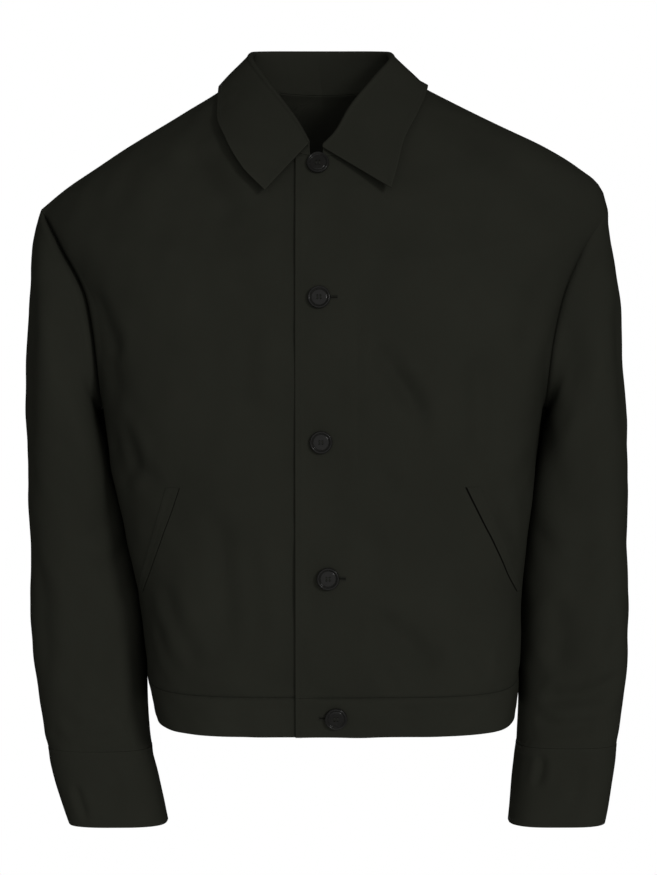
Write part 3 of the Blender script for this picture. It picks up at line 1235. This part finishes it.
def outer_point(surface, x, z):
    """The point of a front surface at this place of the front view, from its nearest point and normal."""
    points, normals = surface
    off = (points[..., 0] - x) ** 2 + (points[..., 2] - z) ** 2 + np.where(points[..., 1] > 0, 1.0, 0.0)
    at = np.unravel_index(np.argmin(off), off.shape)
    (near_x, near_y, near_z), (out_x, out_y, out_z) = points[at], normals[at]
    return np.array([x, near_y - (out_x * (x - near_x) + out_z * (z - near_z)) / out_y, z])


drill_parts = []
for hole in range(4):
    turn = math.pi / 4 + hole * math.pi / 2
    spot = (HOLE_PLACE * math.cos(turn), HOLE_PLACE * math.sin(turn))
    drill_parts.append(rod((*spot, HOLE_FLOOR), (*spot, DRILL_TOP), HOLE_RADIUS, 16))
drill = placed("hole_drill", joined_mesh("hole_drill", drill_parts))
blank = placed("button_blank", turned("button_blank", BUTTON_PROFILE, BUTTON_SIDES))
drilling = blank.modifiers.new("holes", "BOOLEAN")
drilling.object, drilling.operation, drilling.solver = drill, "DIFFERENCE", "EXACT"
bpy.context.view_layer.update()
drilled = bpy.data.meshes.new_from_object(blank.evaluated_get(bpy.context.evaluated_depsgraph_get()))
for helper in (blank, drill):
    bpy.data.objects.remove(helper)
drilled.materials.clear()
drilled.materials.append(polish)
drilled.shade_smooth()
drilled.set_sharp_from_angle(angle=math.radians(35))

bars, bar_x = [], HOLE_PLACE * math.sqrt(0.5)
bar_end = bar_x + BAR_PAST_HOLE
for bar in (-1, 1):
    for strand in (-STRAND_GAP, 0.0, STRAND_GAP):
        at_x = bar * HOLE_PLACE * math.sqrt(0.5) + strand
        rise = BAR_RISE - abs(strand) * OUTER_STRAND_DROP
        bars.append(rod((at_x, -bar_end, rise - BAR_FALL), (at_x, 0.0, rise), STRAND_RADIUS))
        bars.append(rod((at_x, 0.0, rise), (at_x, bar_end, rise - BAR_FALL), STRAND_RADIUS))
bars.append(rod((0, 0, -BUTTON_GAP - SHANK_DIP), (0, 0, SHANK_TOP), SHANK_RADIUS, 12))

FACING_STEP = 0.004  # how far from a button's middle the front's slope is measured
slot_lines, slot_parts = [], []
for number, ((x, z), (slot_from, slot_to)) in enumerate(zip(BUTTONS, SLOTS), 1):
    across = over_front(x + FACING_STEP, z) - over_front(x - FACING_STEP, z)
    out = unit(np.cross(across, over_front(x, z + FACING_STEP) - over_front(x, z - FACING_STEP)))
    side_way = unit(across - out * (across @ out))
    top_way = np.cross(out, side_way)
    under = surfaces["left_front"]
    if z < BAND_MIDDLE:
        under = [part[:, :FRONT_COLUMNS] for part in surfaces["hem_strip"]]
    seat = outer_point(under, x, z)
    rim = []
    for turn in (k * math.pi / 4 for k in range(8)):
        rim.append(outer_point(under, x + RIM_RADIUS * math.cos(turn), z + RIM_RADIUS * math.sin(turn)))
    seat = seat + out * (BUTTON_GAP + max(0.0, *((point - seat) @ out for point in rim)))
    axes = np.stack([side_way, top_way, out], axis=1)
    place = Matrix([(*row, at) for row, at in zip(axes, seat)]).to_4x4()
    piece = placed(f"round_button_{number}", drilled.copy())
    piece.data.transform(place)
    stitch_mesh = joined_mesh(f"button_thread_{number}", bars)
    stitch_mesh.transform(place)
    stitch_mesh.materials.append(thread_material)
    held_by = placed(f"button_thread_{number}", stitch_mesh)
    for thing in (piece, held_by):
        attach(thing, "root")
    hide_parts(f"button_{number}")
    slot_x = np.linspace(x + slot_from, x + slot_to, SLOT_POINTS)
    lift_up = np.tile(out, (SLOT_POINTS, 1))
    base = np.array([outer_point(under, at_x, z) for at_x in slot_x]) + lift_up * HOLE_STITCH_LIFT
    for rise in (-HOLE_STITCH_OFF, HOLE_STITCH_OFF):
        slot_lines.append((base + top_way * rise, lift_up))
    slot_parts.append(rod(base[1] + out * SLOT_LIFT, base[-2] + out * SLOT_LIFT, SLOT_RADIUS, 6))
sewn("buttonhole_stitches", slot_lines, HOLE_STITCH_PITCH, HOLE_STITCH, True)
slots = placed("buttonhole_slots", joined_mesh("buttonhole_slots", slot_parts))
slots.data.materials.append(mouth_cloth)
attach(slots, "root")

# ---- The floor, the light and the camera
# A pale floor well below the cuffs sends light back up. The room is evenly lit. One soft lamp stands on
# the right of the front, a wide one stands near the camera, and another lights the back.
FLOOR_HEIGHT, FLOOR_RADIUS, FLOOR_THICKNESS = -1.15, 1.5, 0.010
floor_profile = ((FLOOR_RADIUS, 0.0), (FLOOR_RADIUS, FLOOR_THICKNESS), (0.0, FLOOR_THICKNESS))
floor = placed("floor", turned("floor", floor_profile, 64))
floor.location = (0.0, 0.0, FLOOR_HEIGHT)
floor_paint, _, floor_shader = new_material("pale_floor")
floor_shader.inputs["Base Color"].default_value = (0.90, 0.90, 0.90, 1.0)
floor_shader.inputs["Roughness"].default_value = 0.9
floor.data.materials.append(floor_paint)

ROOM_LIGHT, WHITE = 0.36, (1.0, 1.0, 1.0, 1.0)
studio = bpy.data.worlds.new("studio")
bpy.context.scene.world = studio
studio.use_nodes = True
studio_tree = studio.node_tree
studio_tree.nodes.clear()
seen = node(studio_tree, "ShaderNodeBackground", [("Color", WHITE), ("Strength", 1.0)])
lighting = node(studio_tree, "ShaderNodeBackground", [("Color", WHITE), ("Strength", ROOM_LIGHT)])
rays = node(studio_tree, "ShaderNodeLightPath")
chosen = node(
    studio_tree,
    "ShaderNodeMixShader",
    [(0, rays.outputs["Is Camera Ray"]), (1, lighting.outputs[0]), (2, seen.outputs[0])],
)
node(studio_tree, "ShaderNodeOutputWorld", [("Surface", chosen.outputs[0])])

LAMPS = (  # strength, width in degrees, and the direction that each lamp stands in
    ("key_lamp", 1.50, 12, (0.48, -0.82, 0.29)),
    ("front_fill", 1.25, 60, (0.06, -0.99, 0.08)),
    ("back_fill", 1.6, 40, (-0.30, 0.92, 0.22)),
)
for lamp_name, strength, width, towards in LAMPS:
    lamp_data = bpy.data.lights.new(lamp_name, "SUN")
    lamp_data.energy, lamp_data.angle = strength, math.radians(width)
    lamp = placed(lamp_name, lamp_data)
    lamp.rotation_euler = Vector(towards).to_track_quat("Z", "Y").to_euler()

CAMERA_AT, CAMERA_DIP, FOCAL_PIXELS, PICTURE_HEIGHT = (0.006, -2.6, -0.1365), 3.9, 2826, 875
view = bpy.data.cameras.new("view")
view.sensor_width = 36.0
view.lens = FOCAL_PIXELS * view.sensor_width / PICTURE_HEIGHT
camera = placed("view", view)
camera.location = CAMERA_AT
camera.rotation_euler = (math.radians(90 - CAMERA_DIP), 0.0, 0.0)
bpy.context.scene.camera = camera
bpy.context.scene.view_settings.view_transform = "Standard"
